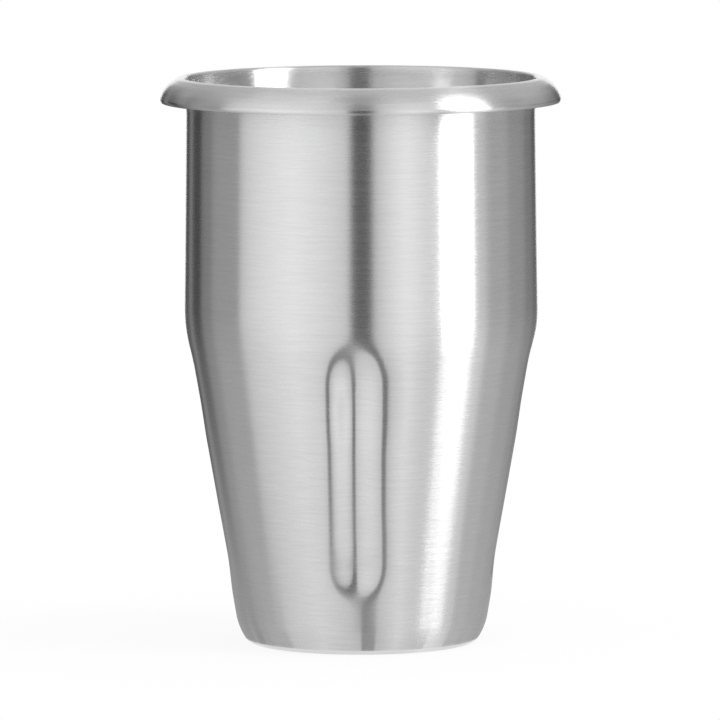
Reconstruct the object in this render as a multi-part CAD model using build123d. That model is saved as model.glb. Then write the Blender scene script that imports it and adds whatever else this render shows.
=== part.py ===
from build123d import *
import math
import os

# Milkshake mixing cup: one drawn and pressed sheet of stainless steel.
# The cup stands on its base at z = 0 and opens upwards; the front flute faces -Y.

# Sheet
wall = 0.6                   # sheet thickness
edge_round = 0.25            # rounding of the cut edge at the rim

# Outside line of the cup, from the base up: its corners and the radius of each
foot_radius = 32.5           # flat base, out to its corner
foot_round = 3.2
heel_reach = 2.92            # heel, outwards from the foot
heel_height = 4.66
heel_round = 15.0
shoulder_radius = 50.43      # between the taper and the upper body
shoulder_height = 91.2
shoulder_round = 60.0
neck_radius = 49.69          # where the body turns out into the rim
neck_height = 161.97
neck_round = 1.35
crown_reach = 2.34           # top of the rim, outwards from the neck
crown_drop = 0.61
crown_round = 1.5
brow_reach = 3.22            # where the rim turns down, outwards from the crown
brow_drop = 2.12
brow_round = 6.4
lip_reach = 1.47             # widest part of the rim, outwards from the brow
lip_drop = 3.34
lip_round = 0.6
edge_reach = -0.36           # cut edge, turned in a little under the rim
edge_drop = 0.82

# Flutes pressed into the taper, evenly spaced
flute_count = 4
flute_low_gap = 17.2         # from the heel up to the centre of the lower end
flute_high_gap = 9.3         # from the shoulder down to the centre of the upper end
flute_depth = 4.0            # below the straight line from heel to shoulder
flute_floor_round = 5.5
flute_slope = 32.0           # slope of the flanks in degrees
flute_lip_round = 6.0

# The fluted part of the wall ends at this height, in the plain upper body
join_height = 0.5 * (shoulder_height + neck_height)


# Point of the straight line from start to end at a height
def point_between(start, end, height):
    share = (height - start[1]) / (end[1] - start[1])
    return (start[0] + share * (end[0] - start[0]), height)


# The same points in the upright plane through the axis
def upright(points):
    return [(r, 0.0, z) for r, z in points]


foot = (foot_radius, 0.0)
heel = (foot_radius + heel_reach, heel_height)
shoulder = (shoulder_radius, shoulder_height)
neck = (neck_radius, neck_height)
crown = (neck[0] + crown_reach, neck[1] - crown_drop)
brow = (crown[0] + brow_reach, crown[1] - brow_drop)
lip = (brow[0] + lip_reach, brow[1] - lip_drop)
edge_end = (lip[0] + edge_reach, lip[1] - edge_drop)

outline = [(0.0, 0.0), foot, heel, shoulder, neck, crown, brow, lip, edge_end]
rounds = [foot_round, heel_round, shoulder_round, neck_round, crown_round, brow_round, lip_round]


# Direction of the line from one point to the next
def heading(start, end):
    length = math.dist(start, end)
    return ((end[0] - start[0]) / length, (end[1] - start[1]) / length)


# Corners and rounds of the line that runs one distance inside a line
def inset_line(points, radii, distance):
    corners = []
    inner_radii = []
    for i, point in enumerate(points):
        ahead = heading(*points[i:i + 2]) if i + 1 < len(points) else None
        behind = heading(*points[i - 1:i + 1]) if i > 0 else ahead
        ahead = ahead or behind
        share = distance / (1 + behind[0] * ahead[0] + behind[1] * ahead[1])
        corners.append((point[0] - share * (behind[1] + ahead[1]),
                        point[1] + share * (behind[0] + ahead[0])))
        if 0 < i <= len(radii):
            turns_in = behind[0] * ahead[1] > behind[1] * ahead[0]
            inner_radii.append(radii[i - 1] + (-distance if turns_in else distance))
    return corners, inner_radii


# Filled area from the axis to the wall, up to the join
def body_area(inset):
    points, radii = inset_line(outline, rounds, inset)
    top = point_between(points[3], points[4], join_height)
    line = FilletPolyline(*upright(points[:4] + [top]), radius=radii[:3])
    lid = Polyline(*upright([top, (0.0, join_height), points[0]]))
    return make_face(line.edges() + lid.edges())


# Section of the sheet from the join up, around the rim
def rim_area():
    sides = []
    ends = []
    for inset in (0, wall):
        points, radii = inset_line(outline, rounds, inset)
        low = point_between(points[3], points[4], join_height)
        sides.append(FilletPolyline(*upright([low] + points[4:]), radius=radii[3:]))
        ends.append((low, points[-1]))
    caps = [Line(*upright(pair)) for pair in zip(*ends)]
    return make_face(sides[0].edges() + sides[1].edges() + caps)


# Tool that presses one flute, grown by the sheet thickness for the inside
def flute_tool(direction, grown):
    low = point_between(heel, shoulder, heel_height + flute_low_gap)
    high = point_between(heel, shoulder, shoulder_height - flute_high_gap)
    lean = math.degrees(math.atan2(high[0] - low[0], high[1] - low[1]))
    length = math.hypot(high[0] - low[0], high[1] - low[1])
    slope = math.radians(flute_slope)
    radius = flute_floor_round + grown
    floor = flute_floor_round - flute_depth
    side = (radius * math.sin(slope), floor - radius * math.cos(slope))
    top = 2.5 * flute_depth
    edge = (side[0] + (top - side[1]) / math.tan(slope), top)

    right = [
        CenterArc((0, floor), radius, 270, flute_slope),
        Line(side, edge),
        Line(edge, (0, top)),
    ]
    half = make_face(right + [Line((0, top), (0, floor - radius))])
    section = half + mirror(half, Plane.YZ)

    # Local axes: X across the flute, Y outwards, Z up the taper
    run = extrude(section, length)
    low_end = revolve(half, Axis.Y, 180)
    high_end = revolve(half, Axis.Y, -180)
    tool = run + low_end + Pos(0, 0, length) * high_end
    stand = Pos(low[0], 0, low[1]) * Rot(0, lean, 0) * Rot(0, 0, -90)
    return Rot(0, 0, direction) * stand * tool


# Press the flutes into a body and round their lips
def press_flutes(body, grown):
    tools = [flute_tool(270 + 360 * i / flute_count, grown) for i in range(flute_count)]
    walls = body.faces()
    flanks = [face for tool in tools for face in tool.faces()]
    pressed = body - tools
    lips = []
    for edge in pressed.edges():
        middle = edge @ 0.5
        on_wall = min(face.distance_to(middle) for face in walls) < 0.02
        on_flank = min(face.distance_to(middle) for face in flanks) < 0.02
        if on_wall and on_flank:
            lips.append(edge)
    return fillet(lips, flute_lip_round - grown)


# Turn an area around the axis, with the seam away from the flutes
def turned(area):
    return Rot(0, 0, 90 + 180 / flute_count) * revolve(area, Axis.Z, 360)


outside = press_flutes(turned(body_area(0)), 0)
inside = press_flutes(turned(body_area(wall)), wall)

flange = turned(rim_area())
cut_edges = flange.edges().filter_by(
    lambda edge: abs((edge @ 0.5).Z - edge_end[1]) < 0.5 * wall and edge.length > lip[0])
cut_edges = cut_edges.sort_by(Axis.Z)[:2]
flange = fillet(cut_edges, edge_round)

cup = (outside - inside) + flange
cup = cup.solids()[0]
cup.label = "cup"

os.makedirs("parts", exist_ok=True)
export_step(cup, "parts/cup.step")
box = cup.bounding_box()
print(f"cup: {box.size.X:.2f} x {box.size.Y:.2f} x {box.size.Z:.2f} mm")
print(f"sheet volume {cup.volume / 1000:.2f} cm3, about {cup.volume / 1000 * 7.9:.0f} g")
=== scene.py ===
import math

import bpy
from mathutils import Matrix, Vector
from mathutils.kdtree import KDTree


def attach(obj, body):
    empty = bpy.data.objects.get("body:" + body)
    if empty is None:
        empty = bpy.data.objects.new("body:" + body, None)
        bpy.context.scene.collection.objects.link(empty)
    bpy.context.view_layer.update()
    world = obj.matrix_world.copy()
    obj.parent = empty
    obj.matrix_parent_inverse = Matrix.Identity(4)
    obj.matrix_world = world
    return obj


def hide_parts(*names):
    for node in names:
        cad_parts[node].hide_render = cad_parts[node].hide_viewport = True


# Milkshake mixing cup: one drawn stainless shell with a curled rim, four pressed flutes and a
# brushed finish that runs round it. The cup's values are millimetres, which mm makes metres.

mm = 0.001
hair = 0.02 * mm  # a vertex this near to a wanted place is taken to be on it
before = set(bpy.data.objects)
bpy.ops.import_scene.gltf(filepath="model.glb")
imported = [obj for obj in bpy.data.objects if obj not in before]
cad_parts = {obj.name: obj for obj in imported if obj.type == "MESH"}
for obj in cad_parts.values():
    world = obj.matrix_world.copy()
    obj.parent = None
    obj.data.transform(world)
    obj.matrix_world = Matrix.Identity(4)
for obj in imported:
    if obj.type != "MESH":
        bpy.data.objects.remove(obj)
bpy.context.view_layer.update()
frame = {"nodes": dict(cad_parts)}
print("frame loaded:", ", ".join(frame["nodes"]))

scene = bpy.context.scene
scene.view_settings.view_transform = "Standard"


def linearColour(hexValue):
    channels = [int(hexValue[i:i + 2], 16) / 255 for i in (1, 3, 5)]
    return tuple(c / 12.92 if c <= 0.04045 else ((c + 0.055) / 1.055) ** 2.4 for c in channels) + (1.0,)


def addNode(tree, kind, settings=None, links=None):
    node = tree.nodes.new(kind)
    for name, value in (settings or {}).items():
        if isinstance(name, str) and hasattr(node, name):
            setattr(node, name, value)
        else:
            node.inputs[name].default_value = value
    for name, source in (links or {}).items():
        tree.links.new(source, node.inputs[name])
    return node


def newMaterial(name):
    material = bpy.data.materials.new(name)
    material.use_nodes = True
    material.node_tree.nodes.clear()
    return material, material.node_tree


def selectPlaces(piece, wanted):
    # vertices are picked in object mode, by their place
    bpy.ops.object.mode_set(mode="OBJECT")
    for vertex in piece.data.vertices:
        vertex.select = wanted(vertex.co)
    for edge in piece.data.edges:
        edge.select = all(piece.data.vertices[i].select for i in edge.vertices)
    for face in piece.data.polygons:
        face.select = all(piece.data.vertices[i].select for i in face.vertices)
    bpy.ops.object.mode_set(mode="EDIT")


def startWire(name, points):
    # a small plane merged to one vertex, then extruded from point to point
    bpy.ops.object.select_all(action="DESELECT")
    bpy.ops.mesh.primitive_plane_add(size=mm, location=(0, 0, 0))
    wire = bpy.context.object
    wire.name = wire.data.name = name
    bpy.ops.object.mode_set(mode="EDIT")
    bpy.ops.mesh.select_mode(type="VERT")
    bpy.ops.mesh.merge(type="CENTER")
    bpy.ops.transform.translate(value=points[0])
    for here, there in zip(points, points[1:]):
        bpy.ops.mesh.extrude_region_move(TRANSFORM_OT_translate={"value": Vector(there) - Vector(here)})
    return wire


def spinWire(steps, angle):
    # turns the wire in hand about the upright axis
    bpy.ops.mesh.select_all(action="SELECT")
    bpy.ops.mesh.spin(steps=steps, angle=angle, center=(0, 0, 0), axis=(0, 0, 1))
    bpy.ops.mesh.select_all(action="SELECT")
    bpy.ops.mesh.remove_doubles(threshold=hair / 2)
    bpy.ops.mesh.normals_make_consistent(inside=False)
    bpy.ops.object.mode_set(mode="OBJECT")


# The cup. Corners are (radius, height, rounding, segments) of the outside line, from the foot to
# the edge of the rim.
cupShape = {
    "wall": 0.6,
    "corners": [
        (32.50, 0.00, 3.2, 10),  # foot
        (35.42, 4.66, 15.0, 8),  # heel
        (50.43, 91.20, 60.0, 9),  # shoulder
        (49.79, 152.20, 20.0, 6),  # flare, behind the rim
        (50.70, 161.60, 0.45, 6),  # neck, where the wall turns out
        (52.10, 161.24, 1.8, 5),  # crown of the rim
        (55.25, 159.24, 6.4, 7),  # brow of the rim
        (56.69, 155.90, 0.6, 4),  # lip, the widest part of the rim
        (56.33, 155.08, 0.0, 0),  # edge of the rim
    ],
    "longestStep": 1.35,  # between points on the section's straight runs
    "turns": 240,
    "edgeRound": 0.24,  # the sheet's cut edge
    "edgeSegments": 3,
    "edgeAngle": 55.0,  # degrees: only sharper edges than this are rounded
    "brushLength": 250.0,  # length of section that the brush map's U runs over
}
flutes = {
    "angles": (270.0, 358.5, 90.0, 180.0),  # the right one stands a little forward
    "lean": 9.8,  # degrees, as the taper leans, so that each press is square to the wall
    "aim": 0.002,  # how near the bearing of a vertex has to be to the press
    "presses": [  # of the upright line from, to; turned right by degrees; reach and depth
        (21.7, 84.3, 0.0, 8.4, 0.98),
        (32.7, 72.7, 0.0, 6.6, 0.37),
        (70.3, 78.8, 3.0, 14.8, 0.44),
        (26.3, 33.8, 3.0, 10.2, 0.15),
        (26.3, 78.8, 0.0, 8.8, 0.55),
        (25.9, 79.8, 1.5, 9.6, 0.75),
        (25.0, 80.0, 0.0, 15.0, 0.22),
        (24.0, 81.5, -1.5, 3.5, 0.25),
    ],
}


def drawCup():
    points = [Vector((0, 0, 0))]
    for radius, height, _, _ in cupShape["corners"]:
        points.append(Vector((radius * mm, 0, height * mm)))
    cup = startWire("cupShell", points)
    for i in range(1, len(points) - 1):
        roundCorner(cup, points[i - 1:i + 2], *cupShape["corners"][i - 1][2:])
    divideLongRuns(cup)
    spinWire(cupShape["turns"], math.tau)
    turnFacesOut(cup)
    print("cup drawn:", len(cup.data.vertices), "vertices")
    return cup


def roundCorner(cup, points, radius, segments):
    before, corner, after = points
    turn = (corner - before).angle(after - corner)
    selectPlaces(cup, lambda co: (co - corner).length < hair)
    bpy.ops.mesh.bevel(offset=radius * mm * math.tan(turn / 2), offset_type="OFFSET", segments=segments,
                       profile=0.5, affect="VERTICES", clamp_overlap=False)


def divideLongRuns(cup):
    # so that the flutes can be pressed into them; shorter ones are left whole
    bpy.ops.object.mode_set(mode="OBJECT")
    step = cupShape["longestStep"] * mm
    runs = []
    for edge in cup.data.edges:
        a, b = (cup.data.vertices[k].co.copy() for k in edge.vertices)
        if (a - b).length > 1.5 * step:
            runs.append((a, b))
    for a, b in runs:
        selectPlaces(cup, lambda co: min((co - a).length, (co - b).length) < hair)
        bpy.ops.mesh.subdivide(number_cuts=int((a - b).length / step))


def turnFacesOut(cup):
    # an open shell can come out of the recalculation inside out: its base has to look down
    base = min(cup.data.polygons, key=lambda face: face.center.z)
    if base.normal.z > 0:
        bpy.ops.object.mode_set(mode="EDIT")
        bpy.ops.mesh.select_all(action="SELECT")
        bpy.ops.mesh.flip_normals()
        bpy.ops.object.mode_set(mode="OBJECT")


def mapBrush(cup):
    # UV map along the brushing: U follows the section from the middle of the base to the edge of
    # the rim, V goes round. Both are kept within 0 to 1.
    line = sectionLine(cup)
    nearestOnLine = KDTree(len(line))
    lengths = [0.0]
    for i, place in enumerate(line):
        nearestOnLine.insert((place.x, 0, place.y), i)
        lengths.append(lengths[-1] + ((line[i + 1] - place).length if i + 1 < len(line) else 0))
    nearestOnLine.balance()
    uvLayer = cup.data.uv_layers.new(name="brush")
    for face in cup.data.polygons:
        middle = math.atan2(face.center.y, face.center.x)
        for loop in face.loop_indices:
            co = cup.data.vertices[cup.data.loops[loop].vertex_index].co
            radius = math.hypot(co.x, co.y)
            spot = nearestOnLine.find((radius, 0, co.z))[1]
            around = middle if radius < 0.1 * mm else math.atan2(co.y, co.x)
            if around - middle > math.pi:
                around -= math.tau
            elif middle - around > math.pi:
                around += math.tau
            uvLayer.data[loop].uv = (lengths[spot] / (cupShape["brushLength"] * mm), around / math.tau + 0.5)


def sectionLine(cup):
    # the section's own points, to the nearest micrometre, in order from the pole to the rim
    tiny = 0.001 * mm
    neighbours = {}
    for edge in cup.data.edges:
        a, b = (cup.data.vertices[k].co for k in edge.vertices)
        if abs(a.y) < tiny and abs(b.y) < tiny and a.x > -tiny and b.x > -tiny:
            a, b = ((round(end.x, 6), round(end.z, 6)) for end in (a, b))
            neighbours.setdefault(a, []).append(b)
            neighbours.setdefault(b, []).append(a)
    line = [(0.0, 0.0)]
    before = None
    while True:
        following = [place for place in neighbours[line[-1]] if place != before]
        if not following:
            return [Vector(place) for place in line]
        before = line[-1]
        line.append(following[0])


def pressFlutes(cup):
    lean = math.radians(flutes["lean"])
    for degrees in flutes["angles"]:
        for low, high, turned, reach, depth in flutes["presses"]:
            angle = math.radians(degrees + turned)
            outward = Vector((math.cos(angle), math.sin(angle), 0))
            inward = Vector((0, 0, math.sin(lean))) - outward * math.cos(lean)
            selectPlaces(cup, lambda co: low * mm < co.z < high * mm
                         and (Vector((co.x, co.y, 0)).normalized() - outward).length < flutes["aim"])
            bpy.ops.transform.translate(value=inward * depth * mm, use_proportional_edit=True,
                                        proportional_edit_falloff="SMOOTH", proportional_size=reach * mm)
    bpy.ops.object.mode_set(mode="OBJECT")
    print("flutes pressed:", len(flutes["angles"]))


def giveWall(cup):
    wall = cup.modifiers.new("sheet", "SOLIDIFY")
    wall.thickness = cupShape["wall"] * mm
    wall.offset = -1
    wall.use_even_offset = True
    wall.material_offset = 1
    bpy.ops.object.modifier_apply(modifier=wall.name)
    edge = cup.modifiers.new("rimEdge", "BEVEL")
    edge.width = cupShape["edgeRound"] * mm
    edge.segments = cupShape["edgeSegments"]
    edge.limit_method = "ANGLE"
    edge.angle_limit = math.radians(cupShape["edgeAngle"])
    bpy.ops.object.modifier_apply(modifier=edge.name)
    mapEdge(cup)
    bpy.ops.object.shade_smooth()
    print("wall given:", len(cup.data.polygons), "faces")


def mapEdge(cup):
    # the sheet's edge strip has no width in the brush map, so it is given some there
    uvLayer = cup.data.uv_layers["brush"]
    noWidth = 1e-5
    lip = Vector(cupShape["corners"][-1][:2]) * mm
    for face in cup.data.polygons:
        us = [uvLayer.data[loop].uv[0] for loop in face.loop_indices]
        if max(us) - min(us) < noWidth:
            for loop in face.loop_indices:
                co = cup.data.vertices[cup.data.loops[loop].vertex_index].co
                away = (Vector((math.hypot(co.x, co.y), co.z)) - lip).length
                uvLayer.data[loop].uv[0] += away / (cupShape["brushLength"] * mm)


steelFinish = {
    "pale": "#e6e6e6",
    "deep": "#dadada",
    "wallRoughness": 0.27,
    "insideRoughness": 0.22,
    "rimRoughness": 0.27,
    "glossSpread": 0.06,  # of roughness from line to line
    "anisotropy": 1.0,
    "lineSpacing": 0.42,  # mm between brush lines, coarser than the real grit so that they show
    "lineLength": 11.0,
    "lineRadius": 50.0,  # where that length is measured
    "lineNoise": (3.0, 0.62),  # detail and roughness
    "lineTone": (0.3, 0.7, 0.85),  # noise from, to, and the pale colour's largest share
    "lineStrength": 0.5,
    "lineRelief": 0.004,
    "cloudSize": 14.0,
    "cloudShare": 0.25,
    "cloudDetail": 2.0,
    "grooveSpacing": 0.1,  # finer grooves between the lines, which only spread the reflections
    "grooveNoise": (1.0, 0.5),
    "wallGroove": 0.006,
    "insideGroove": 0.008,
    "rimGroove": 0.012,
    "rimStart": (191.25, 193.75),  # length of section over which the wall's finish becomes the rim's
}


def linesRound(tree, ring, along, spacing, noise):
    # noise drawn out round the cup, with a line for each spacing up the wall
    detail, roughness = noise
    height = addNode(tree, "ShaderNodeMath", {"operation": "MULTIPLY", 1: cupShape["brushLength"] / spacing},
                     {0: along})
    place = addNode(tree, "ShaderNodeCombineXYZ", links={
        "X": ring.outputs["X"], "Y": ring.outputs["Y"], "Z": height.outputs[0]})
    return addNode(tree, "ShaderNodeTexNoise", {"Scale": 1.0, "Detail": detail, "Roughness": roughness},
                   {"Vector": place.outputs[0]}).outputs[0]


def wallToRim(tree, along, wallValue, rimValue):
    start, end = (length / cupShape["brushLength"] for length in steelFinish["rimStart"])
    return addNode(tree, "ShaderNodeMapRange", {
        "From Min": start, "From Max": end, "To Min": wallValue, "To Max": rimValue},
        {"Value": along}).outputs[0]


def steelColour(tree, place, lines):
    # pale and deep lines, with faint clouds over them
    low, high, share = steelFinish["lineTone"]
    tone = addNode(tree, "ShaderNodeMapRange", {
        "From Min": low, "From Max": high, "To Min": 0.0, "To Max": share}, {"Value": lines})
    clouds = addNode(tree, "ShaderNodeTexNoise", {
        "Scale": 1 / (steelFinish["cloudSize"] * mm), "Detail": steelFinish["cloudDetail"]},
        {"Vector": place})
    cloudTone = addNode(tree, "ShaderNodeMath", {"operation": "MULTIPLY_ADD", 1: steelFinish["cloudShare"]},
                        {0: clouds.outputs[0], 2: tone.outputs[0]})
    return addNode(tree, "ShaderNodeMix", {
        "data_type": "RGBA", 6: linearColour(steelFinish["deep"]), 7: linearColour(steelFinish["pale"])},
        {0: cloudTone.outputs[0]}).outputs[2]


def steelGloss(tree, along, lines, wallRoughness):
    half = steelFinish["glossSpread"] / 2
    lowest = wallToRim(tree, along, wallRoughness - half, steelFinish["rimRoughness"] - half)
    return addNode(tree, "ShaderNodeMath", {"operation": "MULTIPLY_ADD", 1: steelFinish["glossSpread"]},
                   {0: lines, 2: lowest}).outputs[0]


def steelRelief(tree, along, lines, grit, wallGroove):
    # the lines' own relief, and the fine grooves on it, which are deeper on the rim
    relief = addNode(tree, "ShaderNodeBump", {
        "Strength": steelFinish["lineStrength"], "Distance": steelFinish["lineRelief"] * mm},
        {"Height": lines})
    depth = wallToRim(tree, along, wallGroove / steelFinish["rimGroove"], 1.0)
    height = addNode(tree, "ShaderNodeMath", {"operation": "MULTIPLY"}, {0: grit, 1: depth})
    return addNode(tree, "ShaderNodeBump", {"Strength": 1.0, "Distance": steelFinish["rimGroove"] * mm},
                   {"Height": height.outputs[0], "Normal": relief.outputs[0]}).outputs[0]


def brushedStainless(name, wallRoughness, wallGroove):
    # Stainless steel, AISI 304 sheet, brushed by turning against a belt: the eye sees highlights
    # drawn out up and down the wall, sharp across it, and very fine lines that run round the cup.
    material, tree = newMaterial(name)
    place = addNode(tree, "ShaderNodeTexCoord").outputs["Object"]
    axes = addNode(tree, "ShaderNodeSeparateXYZ", links={0: place})
    level = addNode(tree, "ShaderNodeCombineXYZ", links={"X": axes.outputs["X"], "Y": axes.outputs["Y"]})
    bearing = addNode(tree, "ShaderNodeVectorMath", {"operation": "NORMALIZE"}, {0: level.outputs[0]})
    ringSize = steelFinish["lineRadius"] / steelFinish["lineLength"]
    sized = addNode(tree, "ShaderNodeVectorMath", {"operation": "SCALE", "Scale": ringSize},
                    {0: bearing.outputs[0]})
    ring = addNode(tree, "ShaderNodeSeparateXYZ", links={0: sized.outputs[0]})
    brushMap = addNode(tree, "ShaderNodeUVMap", {"uv_map": "brush"})
    along = addNode(tree, "ShaderNodeSeparateXYZ", links={0: brushMap.outputs[0]}).outputs["X"]
    lines = linesRound(tree, ring, along, steelFinish["lineSpacing"], steelFinish["lineNoise"])
    grit = linesRound(tree, ring, along, steelFinish["grooveSpacing"], steelFinish["grooveNoise"])
    tangent = addNode(tree, "ShaderNodeTangent", {"direction_type": "UV_MAP", "uv_map": "brush"})
    steel = addNode(tree, "ShaderNodeBsdfPrincipled", {
        "Metallic": 1.0, "Anisotropic": steelFinish["anisotropy"], "Anisotropic Rotation": 0.0}, {
        "Base Color": steelColour(tree, place, lines),
        "Roughness": steelGloss(tree, along, lines, wallRoughness),
        "Normal": steelRelief(tree, along, lines, grit, wallGroove),
        "Tangent": tangent.outputs[0]})
    addNode(tree, "ShaderNodeOutputMaterial", links={"Surface": steel.outputs[0]})
    return material


cup = drawCup()
mapBrush(cup)
pressFlutes(cup)
cup.data.materials.clear()
cup.data.materials.append(brushedStainless(
    "stainlessSteelBrushedRound", steelFinish["wallRoughness"], steelFinish["wallGroove"]))
cup.data.materials.append(brushedStainless(
    "stainlessSteelBrushedInside", steelFinish["insideRoughness"], steelFinish["insideGroove"]))
giveWall(cup)
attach(cup, "root")
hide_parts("cup")
print("cup finished")

# The camera: millimetres from the middle of the cup's foot, and degrees.
cameraSet = {
    "distance": 2600.0,
    "height": 331.94,
    "bearing": 2.8,  # to the right of the cup's front
    "aside": -0.365,
    "pitch": 5.5142,
    "roll": -0.142,
    "lens": 456.85,
    "sensor": 36.0,
    "clip": (100.0, 30000.0),
}
# The studio: metres, and bearings in degrees round the cup from the camera, plus to the right.
# Levels are what the steel sees, where 1 is white.
studio = {
    "worldLevel": 1.0,
    "tableRadius": 0.16,
    "tableSides": 96,
    "tableFade": (0.55, 0.98),  # share of the radius where the table starts and ends to fade out
    "tablePaint": "#f4f4f4",
    "tableGlow": 0.86,  # share of plain white in the table as the camera and the steel see it
    "radius": 1.2,  # of the cards, and of the disc over the floor
    "high": 1.9,
    "low": 0.001,  # the cards' lower edge and the disc
    "cardStep": 3.0,  # degrees from edge to edge in a curved card
    "cards": [  # from, to, level at the middle and at both ends
        ("gapCard", -6.8, 7.2, 0.07, 0.07),
        ("leftSoftbox", -85.8, -6.8, 1.09, 0.74),
        ("leftGreyCard", -114.0, -85.8, 0.34, 0.34),
        ("leftDuskCard", -128.5, -114.0, 0.22, 0.22),
        ("leftBlackCard", -144.0, -128.5, 0.02, 0.02),
        ("backStripCard", -152.0, -144.0, 0.22, 0.22),
        ("backBlackCard", -165.0, -152.0, 0.06, 0.06),
        ("rightSoftbox", 7.2, 53.5, 1.11, 0.6),
        ("rightPaleCard", 78.8, 92.0, 0.5, 0.5),
        ("rightGreyCard", 92.0, 112.0, 0.39, 0.39),
        ("rightDuskCard", 112.0, 135.0, 0.265, 0.265),
        ("rightDarkCard", 135.0, 151.0, 0.165, 0.165),
        ("rightBlackCard", 151.0, 165.0, 0.08, 0.08),
    ],
    "upHigh": (0.35, 1.5, 0.75, 0.7),  # plainer high up: from, to, share, level
    "sideHigh": (0.15, 0.75, 0.8, 0.65),  # the same for the black cards and those at the far right
    "farRight": 100.0,
    "ceilings": [  # from, to, level
        ("ceilingMiddle", -28.0, 24.0, 0.40),
        ("ceilingLeft", -128.0, -28.0, 0.8),
        ("ceilingRight", 24.0, 112.0, 0.66),
        ("ceilingBack", 112.0, 232.0, 0.6),
    ],
    "ceilingHole": 0.02,
    "footGap": 0.0335,  # hole of the floor's disc, where the cup stands
    "footRadius": 0.037,  # where the floor's picture is drawn in towards the cup
    "slant": (0.05, 0.15, 6.0),  # from, to, and the degrees by which it leans right near the foot
    "nearTable": (0.04, 0.45, 0.55, 0.63),  # paler near the cup: from, to, share, level
    "softChange": 0.5,  # degrees on each side of a change on the floor
    "liftOnFloor": (0.07, 0.17),  # added to the grey cards' picture, left and right
    "stripOnFloor": (63.5, 91.0, 1.0),  # from, to, level
    "besideStrip": (0.45, 0.5),  # level on the floor at its left and right
    "stripFrom": 53.6,
    "stripTo": 76.8,
    "stripLow": 0.0,
    "stripHigh": 1.3,
    "stripLevel": 4.0,
    "stripInside": 0.95,  # share of the cards' radius
}


def placeCamera():
    bearing = math.radians(cameraSet["bearing"])
    pitch = math.radians(cameraSet["pitch"])
    roll = math.radians(cameraSet["roll"])
    level = Vector((math.cos(bearing), math.sin(bearing), 0))
    ahead = Vector((-math.sin(bearing) * math.cos(pitch), math.cos(bearing) * math.cos(pitch),
                    -math.sin(pitch)))
    tilted = level.cross(ahead)
    right = level * math.cos(roll) + tilted * math.sin(roll)
    up = tilted * math.cos(roll) - level * math.sin(roll)
    bpy.ops.object.camera_add()
    camera = bpy.context.object
    camera.name = "photoCamera"
    camera.data.sensor_width = cameraSet["sensor"]
    camera.data.lens = cameraSet["lens"]
    camera.data.clip_start, camera.data.clip_end = (distance * mm for distance in cameraSet["clip"])
    place = (Vector((math.sin(bearing), -math.cos(bearing), 0)) * cameraSet["distance"]
             + level * cameraSet["aside"] + Vector((0, 0, cameraSet["height"]))) * mm
    camera.matrix_world = Matrix.Translation(place) @ Matrix((right, up, -ahead)).transposed().to_4x4()
    scene.camera = camera


def lightPathWhite(tree):
    # 1 for what the camera sees, directly, in metal or through glass
    path = addNode(tree, "ShaderNodeLightPath")
    seen = addNode(tree, "ShaderNodeMath", {"operation": "MAXIMUM"},
                   {0: path.outputs["Is Camera Ray"], 1: path.outputs["Is Glossy Ray"]})
    return addNode(tree, "ShaderNodeMath", {"operation": "MAXIMUM"},
                   {0: seen.outputs[0], 1: path.outputs["Is Transmission Ray"]}).outputs[0]


def whiteWorld():
    world = bpy.data.worlds.new("paleStudio")
    scene.world = world
    world.use_nodes = True
    tree = world.node_tree
    tree.nodes.clear()
    seen = lightPathWhite(tree)
    room = addNode(tree, "ShaderNodeBackground", {"Color": (1, 1, 1, 1), "Strength": studio["worldLevel"]})
    white = addNode(tree, "ShaderNodeBackground", {"Color": (1, 1, 1, 1), "Strength": 1.0})
    mixed = addNode(tree, "ShaderNodeMixShader", links={0: seen, 1: room.outputs[0], 2: white.outputs[0]})
    addNode(tree, "ShaderNodeOutputWorld", links={"Surface": mixed.outputs[0]})


def paleTable():
    # a pale disc that fades out into the white room, and is clear from below
    bpy.ops.object.select_all(action="DESELECT")
    bpy.ops.mesh.primitive_circle_add(
        vertices=studio["tableSides"], radius=studio["tableRadius"], fill_type="NGON")
    table = bpy.context.object
    table.name = table.data.name = "paleTable"
    material, tree = newMaterial("whiteLaminateMatt")
    place = addNode(tree, "ShaderNodeTexCoord")
    reach = addNode(tree, "ShaderNodeVectorMath", {"operation": "LENGTH"}, {0: place.outputs["Object"]})
    fadeFrom, fadeTo = (share * studio["tableRadius"] for share in studio["tableFade"])
    inside = addNode(tree, "ShaderNodeMapRange", {
        "interpolation_type": "SMOOTHSTEP", "From Min": fadeFrom, "From Max": fadeTo, "To Min": 1.0,
        "To Max": 0.0}, {"Value": reach.outputs["Value"]})
    glow = addNode(tree, "ShaderNodeMath", {"operation": "MULTIPLY", 1: studio["tableGlow"]},
                   {0: lightPathWhite(tree)})
    paint = addNode(tree, "ShaderNodeBsdfDiffuse", {"Color": linearColour(studio["tablePaint"])})
    white = addNode(tree, "ShaderNodeEmission", {"Color": (1, 1, 1, 1), "Strength": 1.0})
    top = addNode(tree, "ShaderNodeMixShader", links={
        0: glow.outputs[0], 1: paint.outputs[0], 2: white.outputs[0]})
    clear = addNode(tree, "ShaderNodeBsdfTransparent")
    edge = addNode(tree, "ShaderNodeMixShader", links={
        0: inside.outputs[0], 1: clear.outputs[0], 2: top.outputs[0]})
    side = addNode(tree, "ShaderNodeNewGeometry")
    oneSided = addNode(tree, "ShaderNodeMixShader", links={
        0: side.outputs["Backfacing"], 1: edge.outputs[0], 2: clear.outputs[0]})
    addNode(tree, "ShaderNodeOutputMaterial", links={"Surface": oneSided.outputs[0]})
    table.data.materials.append(material)


def bearingPlace(bearing, radius, z):
    angle = math.radians(cameraSet["bearing"] + bearing)
    return Vector((math.sin(angle) * radius, -math.cos(angle) * radius, z))


def spinCard(start, end):
    spinWire(int((end - start) / studio["cardStep"]), -math.radians(end - start))


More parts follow.
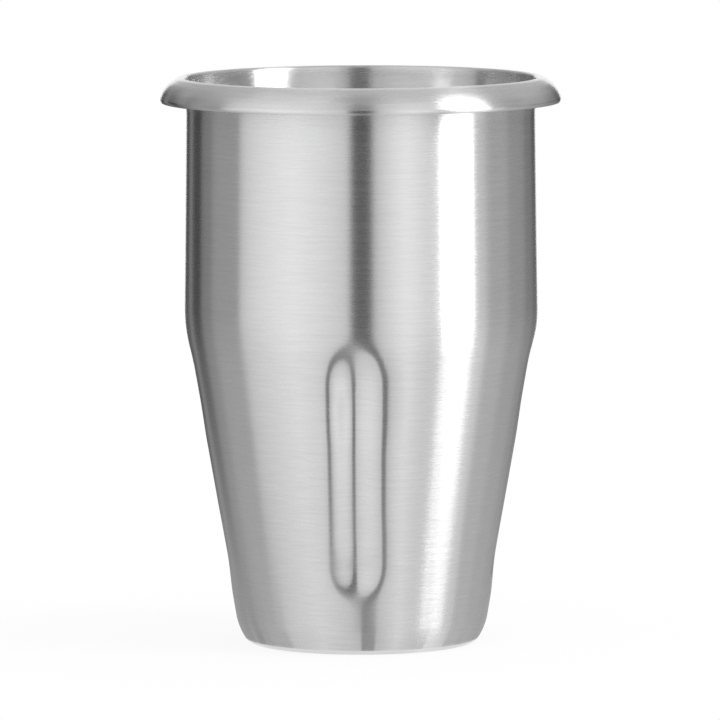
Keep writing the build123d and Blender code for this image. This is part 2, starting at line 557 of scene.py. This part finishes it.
def reflectionCards():
    # curved cards round the table, pale sectors overhead and a disc over the table: only the
    # steel sees them
    for name, start, end, middleLevel, endLevel in studio["cards"]:
        card = startWire(name, [bearingPlace(start, studio["radius"], studio["low"]),
                                bearingPlace(start, studio["radius"], studio["high"])])
        spinCard(start, end)
        plainer = studio["sideHigh"] if "Black" in name or start > studio["farRight"] else studio["upHigh"]
        finishCard(card, cardLevel(start, end, middleLevel, endLevel, plainer))
    for name, start, end, level in studio["ceilings"]:
        card = startWire(name, [bearingPlace(start, studio["ceilingHole"], studio["high"]),
                                bearingPlace(start, studio["radius"], studio["high"])])
        spinCard(start, end)
        finishCard(card, evenLevel(level))
    disc = startWire("floorReflector", [bearingPlace(0, studio["footGap"], studio["low"]),
                                        bearingPlace(0, studio["radius"], studio["low"])])
    spinWire(int(360 / studio["cardStep"]), math.tau)
    finishCard(disc, floorLevel)


def evenLevel(level):
    def build(tree, axes, reach):
        value = addNode(tree, "ShaderNodeValue")
        value.outputs[0].default_value = level
        return value.outputs[0]
    return build


def cardLevel(start, end, middleLevel, endLevel, plainer):
    # brightest in the middle of the card
    def build(tree, axes, reach):
        flat = addNode(tree, "ShaderNodeCombineXYZ", links={"X": axes.outputs["X"], "Y": axes.outputs["Y"]})
        bearing = addNode(tree, "ShaderNodeVectorMath", {"operation": "NORMALIZE"}, {0: flat.outputs[0]})
        towards = addNode(tree, "ShaderNodeVectorMath", {
            "operation": "DOT_PRODUCT", 1: bearingPlace((start + end) / 2, 1.0, 0)}, {0: bearing.outputs[0]})
        level = addNode(tree, "ShaderNodeMapRange", {
            "From Min": math.cos(math.radians(end - start) / 2), "From Max": 1.0, "To Min": endLevel,
            "To Max": middleLevel}, {"Value": towards.outputs["Value"]})
        low, high, share, plain = plainer
        upHigh = addNode(tree, "ShaderNodeMapRange", {
            "interpolation_type": "SMOOTHSTEP", "From Min": low, "From Max": high, "To Min": 0.0,
            "To Max": share}, {"Value": axes.outputs["Z"]})
        return addNode(tree, "ShaderNodeMix", {"data_type": "FLOAT", 3: plain},
                       {0: upHigh.outputs[0], 2: level.outputs[0]}).outputs[0]
    return build


def floorLevel(tree, axes, reach):
    # the cards' picture carried on over the floor, and paler near the cup
    picture = floorPicture(tree, floorShare(tree, axes, reach))
    near, away, share, pale = studio["nearTable"]
    nearTable = addNode(tree, "ShaderNodeMapRange", {
        "interpolation_type": "SMOOTHSTEP", "From Min": near, "From Max": away, "To Min": share,
        "To Max": 0.0}, {"Value": reach})
    return addNode(tree, "ShaderNodeMix", {"data_type": "FLOAT", 3: pale},
                   {0: nearTable.outputs[0], 2: picture}).outputs[0]


def floorShare(tree, axes, reach):
    # share of the turn round the cup, drawn in towards the foot as if the floor were far below
    back = addNode(tree, "ShaderNodeMath", {"operation": "MULTIPLY", 1: -1.0}, {0: axes.outputs["Y"]})
    angle = addNode(tree, "ShaderNodeMath", {"operation": "ARCTAN2"},
                    {0: axes.outputs["X"], 1: back.outputs[0]})
    fromCamera = addNode(tree, "ShaderNodeMath", {
        "operation": "SUBTRACT", 1: math.radians(cameraSet["bearing"])}, {0: angle.outputs[0]})
    drawn = addNode(tree, "ShaderNodeMath", {"operation": "DIVIDE", 0: studio["footRadius"] / 2}, {1: reach})
    spread = addNode(tree, "ShaderNodeMath", {"operation": "SUBTRACT", 0: 1.0}, {1: drawn.outputs[0]})
    far = addNode(tree, "ShaderNodeMath", {"operation": "DIVIDE"},
                  {0: fromCamera.outputs[0], 1: spread.outputs[0]})
    near, away, lean = studio["slant"]
    slant = addNode(tree, "ShaderNodeMapRange", {
        "interpolation_type": "SMOOTHSTEP", "From Min": near, "From Max": away, "To Min": math.radians(lean),
        "To Max": 0.0}, {"Value": reach})
    leant = addNode(tree, "ShaderNodeMath", {"operation": "SUBTRACT"},
                    {0: far.outputs[0], 1: slant.outputs[0]})
    return addNode(tree, "ShaderNodeMath", {"operation": "MULTIPLY_ADD", 1: 1 / math.tau, 2: 0.5},
                   {0: leant.outputs[0]}).outputs[0]


def floorStops():
    # bearing and level wherever the floor's picture changes
    stops = []
    soft = studio["softChange"]
    for name, start, end, middleLevel, endLevel in studio["cards"]:
        if name not in ("gapCard", "leftSoftbox", "rightSoftbox"):
            endLevel = middleLevel = middleLevel + studio["liftOnFloor"][0 if start < 0 else 1]
        stops += [(start + soft, endLevel), (end - soft, endLevel)]
        if middleLevel != endLevel:
            stops.append(((start + end) / 2, middleLevel))
    start, end, level = studio["stripOnFloor"]
    leftLevel, rightLevel = studio["besideStrip"]
    stops = [(bearing, grey) for bearing, grey in stops if not start < bearing < end]
    stops += [(start - soft, leftLevel), (start + soft, level), (end - soft, level), (end + soft, rightLevel)]
    return sorted(stops)


def floorPicture(tree, share):
    # a ramp holds 32 stops at most and levels up to 1, so the levels are halved in it
    picture = addNode(tree, "ShaderNodeValToRGB", links={0: share})
    ramp = picture.color_ramp.elements
    ramp.remove(ramp[1])
    for bearing, level in floorStops():
        stop = ramp.new(0.5 + bearing / 360)
        stop.color = (level / 2, level / 2, level / 2, 1)
    ramp.remove(ramp[0])
    return addNode(tree, "ShaderNodeMath", {"operation": "MULTIPLY", 1: 2.0},
                   {0: picture.outputs[0]}).outputs[0]


def finishCard(card, levelNodes):
    material, tree = newMaterial("cardPaper_" + card.name)
    place = addNode(tree, "ShaderNodeTexCoord")
    axes = addNode(tree, "ShaderNodeSeparateXYZ", links={0: place.outputs["Object"]})
    reach = addNode(tree, "ShaderNodeVectorMath", {"operation": "LENGTH"}, {0: place.outputs["Object"]})
    level = levelNodes(tree, axes, reach.outputs["Value"])
    paper = addNode(tree, "ShaderNodeEmission", {"Color": (1, 1, 1, 1)}, {"Strength": level})
    addNode(tree, "ShaderNodeOutputMaterial", links={"Surface": paper.outputs[0]})
    card.data.materials.append(material)
    card.visible_camera = card.visible_diffuse = card.visible_shadow = False


def stripLamp():
    middle = (studio["stripFrom"] + studio["stripTo"]) / 2
    half = math.radians(studio["stripTo"] - studio["stripFrom"]) / 2
    radius = studio["radius"] * studio["stripInside"]
    bpy.ops.object.light_add(type="AREA", location=bearingPlace(
        middle, radius, (studio["stripHigh"] + studio["stripLow"]) / 2))
    lamp = bpy.context.object
    lamp.name = "rightStripBox"
    lamp.data.shape = "RECTANGLE"
    lamp.data.size = 2 * radius * math.tan(half)
    lamp.data.size_y = studio["stripHigh"] - studio["stripLow"]
    lamp.data.energy = studio["stripLevel"] * math.pi * lamp.data.size * lamp.data.size_y
    inward = Vector((-lamp.location.x, -lamp.location.y, 0))
    lamp.rotation_euler = inward.to_track_quat("-Z", "Y").to_euler()
    lamp.visible_camera = False


placeCamera()
whiteWorld()
paleTable()
reflectionCards()
stripLamp()
print("studio set")

bpy.ops.object.select_all(action="DESELECT")
